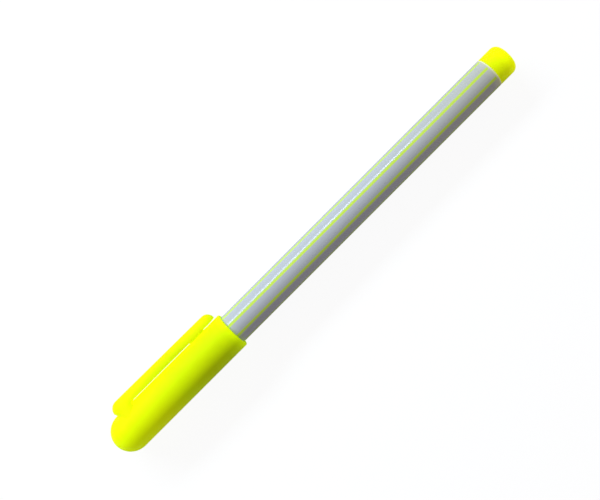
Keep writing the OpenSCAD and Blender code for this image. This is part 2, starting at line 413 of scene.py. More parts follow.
class NodeBoard:
    """The node tree of a material or the world, with short calls to add and join nodes."""

    def __init__(self, owner: Material | World) -> None:
        """Open the tree with the plain shader that it starts with.

        Args:
            owner: The material or world.
        """
        owner.use_nodes = True
        self.owner = owner
        self.tree = owner.node_tree
        shaders = {"BSDF_PRINCIPLED", "BACKGROUND"}
        self.surface = next(node for node in self.tree.nodes if node.type in shaders)
        self.output = self.surface.outputs[0].links[0].to_node

    def add(self, kind: str, **settings: object) -> Node:
        """Add a node and set its options.

        Args:
            kind: The node's type, without its ShaderNode prefix.
            settings: The node's properties by name.

        Returns:
            The node.
        """
        made = self.tree.nodes.new("ShaderNode" + kind)
        for key, value in settings.items():
            setattr(made, key, value)
        return made

    def join(self, source: NodeSocket, target: NodeSocket) -> None:
        """Join an output to an input."""
        self.tree.links.new(source, target)

    def feed(self, name: str, source: NodeSocket) -> None:
        """Join an output to one of the surface shader's own inputs."""
        self.join(source, self.surface.inputs[name])

    def place(self, along: float = 1.0) -> NodeSocket:
        """Object coordinates, scaled along the pen.

        Args:
            along: Scale along the pen: a pattern is drawn out where it is below one.

        Returns:
            The coordinates' socket.
        """
        coordinates = self.add("TexCoord")
        mapping = self.add("Mapping")
        mapping.inputs["Scale"].default_value = (along, 1.0, 1.0)
        self.join(coordinates.outputs["Object"], mapping.inputs["Vector"])
        return mapping.outputs["Vector"]

    def station(self) -> NodeSocket:
        """Place along the pen in metres.

        Returns:
            The value's socket.
        """
        axes = self.add("SeparateXYZ")
        self.join(self.place(), axes.inputs["Vector"])
        return axes.outputs["X"]

    def noise(self, size: float, detail: float, along: float = 1.0) -> NodeSocket:
        """Cloudy noise with features of a given size.

        Args:
            size: Size of the features in millimetres.
            detail: Number of finer layers.
            along: Scale along the pen: the features are drawn out where it is below one.

        Returns:
            The noise value's socket.
        """
        cloud = self.add("TexNoise")
        cloud.inputs["Scale"].default_value = 1 / (size * MM)
        cloud.inputs["Detail"].default_value = detail
        self.join(self.place(along), cloud.inputs["Vector"])
        return cloud.outputs["Fac"]

    def spread(
        self, value: NodeSocket, low: float, high: float, start: float = 0.3, end: float = 0.7
    ) -> NodeSocket:
        """Map part of a value's range to a new range.

        Args:
            value: The value's socket.
            low: Result at the start.
            high: Result at the end.
            start: Value that gives low.
            end: Value that gives high.

        Returns:
            The result's socket.
        """
        span = self.add("MapRange")
        for name, limit in {"From Min": start, "From Max": end, "To Min": low, "To Max": high}.items():
            span.inputs[name].default_value = limit
        self.join(value, span.inputs["Value"])
        return span.outputs["Result"]

    def blend(self, share: NodeSocket, first: Colour | NodeSocket, second: Colour) -> NodeSocket:
        """Mix two colours by a share.

        Args:
            share: Share of the second colour.
            first: The first colour, or a socket that gives it.
            second: The second colour.

        Returns:
            The mixed colour's socket.
        """
        mix = self.add("Mix", data_type="RGBA")
        self.join(share, mix.inputs["Factor"])
        if isinstance(first, NodeSocket):
            self.join(first, mix.inputs["A"])
        else:
            mix.inputs["A"].default_value = (*first, 1.0)
        mix.inputs["B"].default_value = (*second, 1.0)
        return mix.outputs["Result"]

    def choose(self, share: NodeSocket, first: NodeSocket, second: NodeSocket) -> NodeSocket:
        """Mix two shaders by a share.

        Args:
            share: Share of the second shader.
            first: The first shader's socket.
            second: The second shader's socket.

        Returns:
            The mixed shader's socket.
        """
        mix = self.add("MixShader")
        for source, target in zip((share, first, second), mix.inputs):
            self.join(source, target)
        return mix.outputs["Shader"]

    def glow(self, stops: Sequence[Stop]) -> None:
        """Paint a glow on the surface: yellow light of its own, which changes along the pen.

        Args:
            stops: Station in millimetres, red and green light of each stop, in order.
        """
        start, end = stops[0][0], stops[-1][0]
        ramp = self.add("ValToRGB")
        self.join(self.spread(self.station(), 0.0, 1.0, start * MM, end * MM), ramp.inputs["Fac"])
        points = ramp.color_ramp.elements
        for station, _, _ in stops[1:-1]:
            points.new((station - start) / (end - start))
        for point, (_, red, green) in zip(points, stops):
            point.color = (red, green, 0.0, 1.0)
        self.feed("Emission Color", ramp.outputs["Color"])
        self.set(Emission_Strength=1.0)

    def relief(self, height: NodeSocket, depth: float, strength: float) -> None:
        """Give the surface a fine relief.

        Args:
            height: Height value, 0 to 1.
            depth: Height of the relief in millimetres.
            strength: Strength of its effect.
        """
        bump = self.add("Bump")
        bump.inputs["Distance"].default_value = depth * MM
        bump.inputs["Strength"].default_value = strength
        self.join(height, bump.inputs["Height"])
        self.feed("Normal", bump.outputs["Normal"])

    def set(self, **values: float | Colour) -> None:
        """Set the surface shader's own sockets.

        Args:
            values: Value of each socket by its name, with underscores for spaces.
        """
        for key, value in values.items():
            socket = self.surface.inputs[key.replace("_", " ")]
            socket.default_value = (*value, 1.0) if isinstance(value, tuple) else value


def tinted(colour: Colour, factor: float) -> Colour:
    """A colour made darker by a factor."""
    return tuple(channel * factor for channel in colour)


@dataclass(frozen=True)
class MouldedPlastic:
    """Satin moulded plastic in one colour, with a fine mould grain and a faint clouding.

    Its glow, listed along the pen, is painted light that lightens the shaded sides and the ends.
    """

    name: str
    colour: Colour
    roughness: float
    gloss: float
    gloss_tint: Colour = (1.0, 1.0, 1.0)
    depth: float = 0.4
    depth_share: float = 0.5
    depth_by_colour: Colour = (1.0, 1.0, 0.3)
    glow: tuple[Stop, ...] = ()
    cloud_size: float = 3.5
    clouding: float = 0.03
    handling_size: float = 1.4
    polish: float = 0.05
    scuff: float = 0.06
    grain_size: float = 0.09
    grain_depth: float = 0.012
    grain_strength: float = 0.08

    def make(self) -> Material:
        """Build the material.

        Returns:
            The material.
        """
        board = NodeBoard(bpy.data.materials.new(self.name))
        share = board.spread(board.noise(self.cloud_size, detail=3.0), 0.0, 1.0)
        board.feed("Base Color", board.blend(share, tinted(self.colour, 1 - self.clouding), self.colour))
        handling = board.noise(self.handling_size, detail=5.0)
        rough = board.spread(handling, self.roughness - self.polish, self.roughness + self.scuff)
        board.feed("Roughness", rough)
        board.relief(board.noise(self.grain_size, detail=2.0), self.grain_depth, self.grain_strength)
        board.set(Specular_IOR_Level=self.gloss, Specular_Tint=self.gloss_tint, IOR=1.49)
        board.set(Subsurface_Weight=self.depth_share, Subsurface_Scale=self.depth * MM)
        board.surface.inputs["Subsurface Radius"].default_value = self.depth_by_colour
        # Painted light: a glow of its own that lightens the shaded sides and the ends of the yellow parts
        if self.glow:
            board.glow(self.glow)
        return board.owner


@dataclass(frozen=True)
class ExtrudedPlastic:
    """Glossy extruded plastic with fine streaks along the pen, painted light from the plug at its rear and a
    painted paler rim at its cut end.
    """

    name: str
    colour: Colour
    streak: Colour
    cut_end: float
    painted_rim_light: Colour
    painted_plug_light: Colour
    painted_plug_light_share: float = 0.38
    painted_plug_light_len: float = 40.0
    cut_width: float = 0.55
    cut_full: float = 0.4
    glow: tuple[Stop, ...] = ()
    roughness: float = 0.16
    gloss: float = 0.18
    streak_size: float = 0.25
    smudge_size: float = 4.0
    polish: float = 0.03
    scuff: float = 0.05
    line_size: float = 0.12
    line_depth: float = 0.004
    line_strength: float = 0.12

    def make(self) -> Material:
        """Build the material.

        Returns:
            The material.
        """
        board = NodeBoard(bpy.data.materials.new(self.name))
        streaks = board.noise(self.streak_size, detail=4.0, along=0.012)
        share = board.spread(streaks, 0.0, 1.0, start=0.35, end=0.65)
        colour = board.blend(share, self.colour, self.streak)
        station = board.station()
        end = self.cut_end * MM
        width = self.cut_width * MM
        # Painted light: the rear is tinted yellow as if lit through from the plug
        painted_plug_light_mask = board.spread(station, 0.0, self.painted_plug_light_share, end - self.painted_plug_light_len * MM, end)
        colour = board.blend(painted_plug_light_mask, colour, self.painted_plug_light)
        # Painted light: a paler band at the cut end, a painted highlight yellowed by painted light from the
        # plug
        painted_rim_mask = board.spread(station, 0.0, 1.0, end - width, end - self.cut_full * width)
        board.feed("Base Color", board.blend(painted_rim_mask, colour, self.painted_rim_light))
        smudge = board.noise(self.smudge_size, detail=4.0, along=0.4)
        rough = board.spread(smudge, self.roughness - self.polish, self.roughness + self.scuff)
        board.feed("Roughness", rough)
        lines = board.noise(self.line_size, detail=2.0, along=0.008)
        board.relief(lines, self.line_depth, self.line_strength)
        board.set(Specular_IOR_Level=self.gloss, IOR=1.5)
        # Painted light: a glow of its own at the barrel's rear rim, as if lit from the plug
        if self.glow:
            board.glow(self.glow)
        return board.owner


@dataclass(frozen=True)
class InkFibre:
    """Pressed fibre full of ink: dull, with fine fibres along the pen and painted shade in small pores."""

    name: str
    colour: Colour
    painted_pore_shade: Colour
    fibre_size: float = 0.06
    fibre_shade: float = 0.82
    fibre_share: float = 0.55
    fibre_depth: float = 0.03
    pore_size: float = 0.12
    pore_share: float = 0.7

    def make(self) -> Material:
        """Build the material.

        Returns:
            The material.
        """
        board = NodeBoard(bpy.data.materials.new(self.name))
        fibres = board.noise(self.fibre_size, detail=3.0, along=0.1)
        pores = board.noise(self.pore_size, detail=2.0, along=0.4)
        shade = tinted(self.colour, self.fibre_shade)
        colour = board.blend(board.spread(fibres, 0.0, self.fibre_share), self.colour, shade)
        # Painted shade in the pores
        share = board.spread(pores, 0.0, self.pore_share, start=0.58, end=0.75)
        board.feed("Base Color", board.blend(share, colour, self.painted_pore_shade))
        board.relief(fibres, self.fibre_depth, strength=0.5)
        board.set(Roughness=0.88, Specular_IOR_Level=0.15, Sheen_Weight=0.15)
        return board.owner


@dataclass(frozen=True)
class ClearFilm:
    """Thin shiny film, wrinkled a little along the pen."""

    name: str
    colour: Colour
    wrinkle_size: float = 1.2
    wrinkle_shade: float = 0.93
    wrinkle_depth: float = 0.05

    def make(self) -> Material:
        """Build the material.

        Returns:
            The material.
        """
        board = NodeBoard(bpy.data.materials.new(self.name))
        wrinkles = board.noise(self.wrinkle_size, detail=3.0, along=0.15)
        shade = tinted(self.colour, self.wrinkle_shade)
        board.feed("Base Color", board.blend(board.spread(wrinkles, 0.0, 1.0), self.colour, shade))
        board.relief(wrinkles, self.wrinkle_depth, strength=0.3)
        board.set(Roughness=0.18, Specular_IOR_Level=0.5)
        return board.owner


@dataclass(frozen=True)
class Recipes:
    """What the larger pieces' finishes are made of, with their changes placed along the pen."""

    stations: Stations

    def barrel(self) -> ExtrudedPlastic:
        """Lilac grey, with a little painted glow at its rear rim.

        Returns:
            The tube's recipe.
        """
        rim = self.stations.rim
        return ExtrudedPlastic(
            "lilac_grey_barrel",
            colour=(0.50, 0.525, 0.545),
            streak=(0.53, 0.54, 0.575),
            cut_end=rim,
            # Painted light: a paler, yellowed rim
            painted_rim_light=(0.90, 0.88, 0.62),
            # Painted light: a yellow tint at the rear, as if lit from the plug
            painted_plug_light=(0.56, 0.54, 0.36),
            # Painted glow at the rear rim
            glow=((rim - 2.4, 0.0, 0.0), (rim - 0.9, 0.05, 0.05), (rim, 0.12, 0.12)),
        )

    def stripe(self) -> ExtrudedPlastic:
        """Yellow green, run in with the tube's wall.

        Returns:
            The stripes' recipe.
        """
        return ExtrudedPlastic(
            "stripe_yellow_green",
            colour=(0.60, 0.80, 0.085),
            streak=(0.64, 0.84, 0.12),
            cut_end=self.stations.rim,
            # Painted rim light, near the stripe's own colour
            painted_rim_light=(0.60, 0.85, 0.10),
            # Painted light from the plug, near the stripe's own colour
            painted_plug_light=(0.62, 0.80, 0.07),
        )

    def cap(self) -> MouldedPlastic:
        """Fluorescent yellow, with a painted glow at the dome and at the mouth.

        Returns:
            The cap's recipe.
        """
        s = self.stations
        return MouldedPlastic(
            "fluorescent_yellow",
            colour=(0.80, 0.965, 0.003),
            roughness=0.5,
            gloss=0.06,
            gloss_tint=(1.0, 1.0, 0.15),
            depth=0.6,
            # Painted glow, brightest at the dome and the mouth, that lightens their shaded sides
            glow=(
                (s.cap_end, 0.32, 0.43),
                (s.cap_end + 2, 0.25, 0.35),
                (s.cap_end + 4, 0.195, 0.265),
                (s.cap_end + 7, 0.165, 0.215),
                (s.cap_end + 15, 0.11, 0.135),
                (s.cap_end + 22.5, 0.035, 0.09),
                (s.cap_end + 30, 0.0, 0.03),
                (s.mouth - 4.5, 0.0, 0.045),
                (s.mouth - 2, 0.05, 0.11),
                (s.mouth, 0.19, 0.33),
            ),
        )

    def clip(self) -> MouldedPlastic:
        """The cap's yellow with the clip's own painted glow, strongest at its root.

        Returns:
            The clip's recipe.
        """
        s = self.stations
        # Painted glow, strongest at the root and round the bump
        glow = (
            (s.cap_end + 5.2, 0.216, 0.24),
            (s.flex - 2.2, 0.216, 0.215),
            (s.flex - 0.7, 0.267, 0.21),
            (s.flex + 0.8, 0.22, 0.19),
            (s.flex + 4.8, 0.14, 0.14),
            (s.flex + 11.8, 0.045, 0.09),
            (s.clip_tip - 11, 0.07, 0.05),
            (s.clip_tip - 8.5, 0.14, 0.10),
            (s.clip_tip - 4, 0.14, 0.10),
            (s.clip_tip, 0.15, 0.20),
        )
        return replace(self.cap(), name="fluorescent_yellow_clip", glow=glow)

    def plug(self) -> MouldedPlastic:
        """The cap's yellow in a solid piece: light goes deeper into it, and a painted glow brightens it
        towards its end.

        Returns:
            The tail plug's recipe.
        """
        s = self.stations
        return replace(
            self.cap(),
            name="fluorescent_yellow_solid",
            colour=(0.80, 0.955, 0.003),
            gloss=0.12,
            depth=2.0,
            depth_share=0.75,
            # Painted glow, growing towards the plug's end
            glow=(
                (s.rim, 0.10, 0.115),
                (s.rim + 2.5, 0.20, 0.21),
                (s.rim + 3.5, 0.30, 0.33),
                (s.rim + 4.5, 0.40, 0.43),
                (s.plug_end, 0.60, 0.63),
            ),
        )


@dataclass(frozen=True)
class Finishes:
    """The pen's materials by the record's slots, and yellows of their own for the plug and the clip."""

    made: dict[Slot, Material]
    plug_yellow: Material
    clip_yellow: Material

    @classmethod
    def mix(cls, stations: Stations) -> Finishes:
        """Make every finish.

        Args:
            stations: The pen's shared places.

        Returns:
            The finishes.
        """
        recipes = Recipes(stations)
        by_slot = {
            Slot.BARREL: recipes.barrel(),
            Slot.STRIPE: recipes.stripe(),
            Slot.YELLOW: recipes.cap(),
            Slot.WHITE: MouldedPlastic("natural_white", (0.80, 0.80, 0.77), roughness=0.38, gloss=0.45),
            Slot.FIBRE: InkFibre("inked_fibre", colour=(0.78, 0.93, 0.02), painted_pore_shade=(0.40, 0.50, 0.01)),
            Slot.FILM: ClearFilm("reservoir_film", colour=(0.80, 0.82, 0.82)),
        }
        made = {slot: recipe.make() for slot, recipe in by_slot.items()}
        return cls(made, recipes.plug().make(), recipes.clip().make())

    def dress(
        self, piece: Object, slot: Slot, finish: Material | None = None, smooth: float = 30.0
    ) -> None:
        """Shade a new piece smooth and give it its finish.

        Args:
            piece: The piece.
            slot: The record's slot that it takes its finish from.
            finish: The finish, where it isn't the slot's usual one.
            smooth: Angle in degrees from which an edge stays sharp.
        """
        Bench.smooth(piece, smooth)
        piece.data.materials.clear()
        piece.data.materials.append(finish or self.made[slot])

    def dress_node(self, node: str) -> None:
        """Give a CAD node that stays its finish, by its own slot.

        Args:
            node: The node's name.
        """
        rows = {row["node"]: row["material_slot"] for row in frame["record"]["subparts"]}
        for place in frame["nodes"][node].material_slots:
            place.material = self.made[Slot(rows[node])]


@dataclass
class Barrel:
    """The extruded tube with its eight stripes let in flush."""

    stations: Stations
    steps: int = 144
    bore_r: float = 3.35
    lead_taper: float = 0.3
    lead_show: float = 0.1
    rim_round: float = 0.35
    rim_band: float = 0.65
    stripes: int = 8
    stripe_turn: float = 19.0
    stripe_half_angle: float = 5.0
    stripe_depth: float = 0.35

    def outline(self) -> list[Point]:
        """Draw the tube's wall in section.

        Returns:
            A closed run of points, as station and radius.
        """
        s = self.stations
        return [
            (s.front, self.bore_r),
            (s.front, s.barrel_r - self.lead_taper),
            (s.mouth + self.lead_show, s.barrel_r),
            (s.rim - self.rim_band, s.barrel_r),
            *arc((s.rim - self.rim_round, s.barrel_r - self.rim_round), self.rim_round, 90, 0, steps=8),
            (s.rim, self.bore_r),
            (s.front, self.bore_r),
        ]

    def on_stripe(self, centre: Vector, normal: Vector, number: int) -> bool:
        """Whether a face of the tube's outside lies on a stripe.

        Args:
            centre: The face's centre in millimetres.
            normal: The face's normal.
            number: The stripe's number, from 1.

        Returns:
            True if it does.
        """
        outside = math.hypot(centre.y, centre.z) > self.stations.barrel_r - self.lead_taper
        ahead = centre.x < self.stations.rim - self.rim_band and normal.x < FACING
        middle = self.stripe_turn + 360 / self.stripes * (number - 1)
        beside = angle_between(angle_about_axis(centre), middle)
        return outside and ahead and beside < self.stripe_half_angle

    def build(self, finishes: Finishes) -> list[Object]:
        """Model the tube and its stripes.

        Args:
            finishes: The pen's materials.

        Returns:
            The pieces.
        """
        first = self.stripe_turn - self.stripe_half_angle
        numbers = range(1, self.stripes + 1)
        tube = Bench.lathe("barrel_tube_shell", self.outline(), self.steps, first)
        pieces = {"barrel_tube": tube}
        for number in numbers:
            pieces[f"barrel_stripe_{number}"] = self.build_stripe(tube, number)
        Bench.pick_faces(tube, lambda c, n: any(self.on_stripe(c, n, number) for number in numbers))
        Bench.lift(-self.stripe_depth)
        for node, piece in pieces.items():
            finishes.dress(piece, Slot.BARREL if piece is tube else Slot.STRIPE)
            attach(piece, Body.BARREL.value)
            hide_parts(node)
        return list(pieces.values())

    def build_stripe(self, tube: Object, number: int) -> Object:
        """Copy a stripe's faces off the tube and give them the stripe's depth.

        Args:
            tube: The tube before its grooves are sunk.
            number: The stripe's number, from 1.

        Returns:
            The stripe.
        """
        Bench.pick_faces(tube, lambda c, n: self.on_stripe(c, n, number))
        strip = Bench.split_off(f"stripe_{number}")
        depth = strip.modifiers.new("depth", "SOLIDIFY")
        depth.thickness = self.stripe_depth * MM
        depth.offset = -1.0
        Bench.apply(strip, "depth")
        return strip


@dataclass
class TailPlug:
    """The rounded plug in the barrel's rear, with its ringed hollow shank."""

    stations: Stations
    steps: int = 128
    edge_round: float = 1.75
    crown: float = 14.0
    base_edge: float = 0.2
    shank_r: float = 3.22
    ring_r: float = 3.34
    ring_width: float = 0.8
    rings: int = 2
    hollow_r: float = 2.44
    hollow_depth: float = 2.0
    gate_r: float = 0.55
    gate_depth: float = 0.06

    def outline(self) -> list[Point]:
        """Draw the plug in section.

        Returns:
            Points from the hollow's floor round the outside to the end's middle.
        """
        s = self.stations
        points = [
            (s.rim + self.hollow_depth, 0.0),
            (s.rim + self.hollow_depth, self.hollow_r),
            (s.shank_end, self.hollow_r),
            (s.shank_end, self.shank_r - self.base_edge),
            (s.shank_end + self.base_edge, self.shank_r),
        ]
        pitch = (s.rim - s.shank_end) / (self.rings + 1)
        for number in range(self.rings):
            middle = s.shank_end + pitch * (number + 1)
            points += [
                (middle - self.ring_width / 2, self.shank_r),
                (middle - self.ring_width / 4, self.ring_r),
                (middle + self.ring_width / 4, self.ring_r),
                (middle + self.ring_width / 2, self.shank_r),
            ]
        points.append((s.rim, self.shank_r))
        points += arc((s.rim + self.base_edge, s.plug_r - self.base_edge), self.base_edge, 180, 90, steps=5)
        return points + self.end_outline()

    def end_outline(self) -> list[Point]:
        """Draw the rounded edge, the shallow dome and the gate mark in its middle.

        Returns:
            Points from the plug's side to the end's middle.
        """
        s = self.stations
        middle_r = s.plug_r - self.edge_round
        dome_x = s.plug_end - self.crown
        reach = self.crown - self.edge_round
        edge_x = dome_x + math.sqrt(reach**2 - middle_r**2)
        lean = math.degrees(math.asin(middle_r / reach))
        gate = math.degrees(math.asin(self.gate_r / self.crown))
        rounded = arc((edge_x, middle_r), self.edge_round, 90, lean, steps=14)
        dome = arc((dome_x, 0.0), self.crown, lean, gate, steps=6)[1:]
        floor_x = dome[-1][0] - self.gate_depth
        return rounded + dome + [(floor_x, dome[-1][1] * GATE_FLOOR), (floor_x, 0.0)]

    def build(self, finishes: Finishes) -> list[Object]:
        """Model the plug.

        Args:
            finishes: The pen's materials.

        Returns:
            The pieces.
        """
        plug = Bench.lathe("tail_plug", self.outline(), self.steps)
        finishes.dress(plug, Slot.YELLOW, finishes.plug_yellow)
        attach(plug, Body.BARREL.value)
        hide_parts("end_plug")
        return [plug]


@dataclass
class WritingEnd:
    """The nib holder with its collar, nose and sealing bead, and the chisel nib in it."""

    stations: Stations
    steps: int = 128
    seat_gap: float = 0.3
    bore_r: float = 1.92
    lip_r: float = 2.42
    base_r: float = 2.97
    bead_round: float = 0.5
    bead_rise: float = 0.18
    bead_at: float = 2.0
    edge: float = 0.2
    shank_r: float = 3.34
    hollow_r: float = 2.59
    nib_seat: float = 2.0
    vents: int = 4
    vent_width: float = 0.5
    vent_lead: float = 1.0
    nib_steps: int = 64
    nib_flat_len: float = 4.6
    nib_edge: float = 1.2
    nib_rake: float = 2.2
    nib_tail_r: float = 1.25
    nib_spear: float = 6.0
    nib_soft: float = 0.16

    @property
    def seat(self) -> float:
        """Station of the collar's front face."""
        return self.stations.liner_rim + self.seat_gap

    @property
    def nib_step(self) -> float:
        """Station where the nib's thick part ends inside the collar."""
        return self.seat + self.nib_seat

    def nose_radius(self, x: float) -> float:
        """Radius of the tapering nose at a station."""
        share = (x - self.stations.nose) / (self.seat - self.stations.nose)
        return self.lip_r + (self.base_r - self.lip_r) * share

    def holder_outline(self) -> list[Point]:
        """Draw the holder's wall in section.

        Returns:
            A closed run of points, as station and radius.
        """
        s = self.stations
        bead_x = self.seat - self.bead_at
        bead_r = self.base_r + self.bead_rise - self.bead_round
        sink = self.nose_radius(bead_x) - bead_r
        swing = math.degrees(math.asin(sink / self.bead_round))
        start = (self.nib_step, self.bore_r)
        return [
            start,
            (s.nose + self.edge / 2, self.bore_r),
            (s.nose, self.bore_r + self.edge / 2),
            *arc((s.nose + self.edge, self.lip_r - self.edge), self.edge, 180, 90, steps=5),
            *arc((bead_x, bead_r), self.bead_round, 180 - swing, swing, steps=10),
            (self.seat - self.edge, self.nose_radius(self.seat - self.edge)),
            (self.seat, self.base_r + self.edge),
            *arc((self.seat + self.edge, s.collar_r - self.edge), self.edge, 180, 90, steps=5),
            (s.front, s.collar_r),
            (s.front, self.shank_r),
            (s.holder_end - self.edge, self.shank_r),
            (s.holder_end, self.shank_r - self.edge),
            (s.holder_end, self.hollow_r),
            (self.nib_step, self.hollow_r),
            start,
        ]

    def nib_outline(self) -> list[Point]:
        """Draw the nib's round rod and thin tail in section, before its chisel is cut.

        Returns:
            Points from the tip's middle to the tail's middle.
        """
        s = self.stations
        tail_end = s.holder_end + self.nib_spear
        return [
            (s.nib_tip, 0.0),
            (s.nib_tip, s.nib_r),
            (self.nib_step, s.nib_r),
            (self.nib_step, self.nib_tail_r),
            (tail_end, self.nib_tail_r),
            (tail_end, 0.0),
        ]

    def cut_vents(self, holder: Object) -> None:
        """Cut the air grooves beside the nib into the nose's bore.

        Args:
            holder: The turned holder.
        """
        length = self.nib_step - self.stations.nose
        reach = self.bore_r + self.vent_width / 2
        bpy.ops.object.select_all(action="DESELECT")
        bpy.ops.mesh.primitive_cube_add(size=1.0)
        cutter = bpy.context.object
        Bench.edit()
        bpy.ops.mesh.select_all(action="SELECT")
        bpy.ops.transform.resize(value=(length * MM, 2 * reach * MM, self.vent_width * MM))
        bpy.ops.transform.translate(value=((self.stations.nose + length / 2 - self.vent_lead) * MM, 0, 0))
        turn = 2 * math.pi / self.vents
        for _ in range(self.vents // 2 - 1):
            bpy.ops.mesh.duplicate()
            bpy.ops.transform.rotate(value=turn, orient_axis="X", center_override=(0, 0, 0))
        Bench.leave()
        Bench.carve(holder, cutter, crossing=True)

    def build_nib(self) -> Object:
        """Turn the nib's rod and cut its two flats and its slanted edge.

        Returns:
            The nib.
        """
        s = self.stations
        nib = Bench.lathe("chisel_nib", self.nib_outline(), self.nib_steps)
        lean = math.atan2(s.nib_r - self.nib_edge / 2, self.nib_flat_len)
        for side in (1, -1):
            outward = Vector((-math.sin(lean), 0.0, side * math.cos(lean)))
            Bench.cut(nib, Vector((s.nib_tip, 0.0, side * self.nib_edge / 2)), outward)
        rake = Vector((-2 * s.nib_r, -self.nib_rake, 0.0)).normalized()
        Bench.cut(nib, Vector((s.nib_tip, s.nib_r, 0.0)), rake)
        Bench.soften_edges(nib, self.nib_soft, sharper_than=20.0)
        return nib

    def build(self, finishes: Finishes) -> list[Object]:
        """Model the holder and the nib.

        Args:
            finishes: The pen's materials.

        Returns:
            The pieces.
        """
        holder = Bench.lathe("nib_holder_body", self.holder_outline(), self.steps)
        self.cut_vents(holder)
        nib = self.build_nib()
        for piece, node, slot in [(holder, "nib_holder", Slot.WHITE), (nib, "nib", Slot.FIBRE)]:
            finishes.dress(piece, slot)
            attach(piece, Body.BARREL.value)
            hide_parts(node)
        return [holder, nib]


@dataclass
class Cap:
    """The domed cap with its ribbed mouth."""

    stations: Stations
    steps: int = 144
    mouth_r: float = 4.3
    mouth_round: float = 0.3
    mouth_lead: float = 0.15
    socket_r: float = 3.71
    ribs: int = 6
    rib_half_angle: float = 5.5
    rib_r: float = 3.95
    rib_clear: float = 0.8
    gate_r: float = 0.45
    gate_depth: float = 0.05

    def outline(self) -> list[Point]:
        """Draw the cap in section.

        Returns:
            Points from the dome's tip round the mouth to the inner dome's tip.
        """
        s = self.stations
        gate = math.degrees(math.asin(self.gate_r / s.cap_r))
        dome = arc((s.dome, 0.0), s.cap_r, 180 - gate, 90, steps=40)
        floor_x = dome[0][0] + self.gate_depth
        mouth = (s.mouth - self.mouth_round, s.cap_r - self.mouth_round)
        return [
            (floor_x, 0.0),
            (floor_x, self.gate_r * GATE_FLOOR),
            *dome,
            *arc(mouth, self.mouth_round, 90, 0, steps=8),
            (s.mouth, self.mouth_r + self.mouth_lead),
            (s.mouth - self.mouth_lead, self.mouth_r),
            (s.front - self.rib_clear, self.mouth_r),
            (s.liner_rim, self.mouth_r),
            (s.liner_rim, self.socket_r),
            *arc((s.dome, 0.0), self.socket_r, 90, 180, steps=16),
        ]

    def on_rib(self, centre: Vector, normal: Vector) -> bool:
        """Whether a face of the mouth's bore carries a rib.

        Args:
            centre: The face's centre in millimetres.
            normal: The face's normal.

        Returns:
            True if it does.
        """
        s = self.stations
        along = s.liner_rim < centre.x < s.front - self.rib_clear
        inward = normal.y * centre.y + normal.z * centre.z < -FACING * self.rib_r
        turn = angle_about_axis(centre)
        near = min(angle_between(turn, 360 / self.ribs * k) for k in range(self.ribs))
        return along and inward and near < self.rib_half_angle

    def build(self, finishes: Finishes) -> list[Object]:
        """Model the cap's shell.

        Args:
            finishes: The pen's materials.

        Returns:
            The pieces.
        """
        shell = Bench.lathe("cap_body", self.outline(), self.steps)
        Bench.pick_faces(shell, self.on_rib)
        Bench.lift(self.mouth_r - self.rib_r)
        finishes.dress(shell, Slot.YELLOW)
        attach(shell, Body.CAP.value)
        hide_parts("cap_shell")
        return [shell]


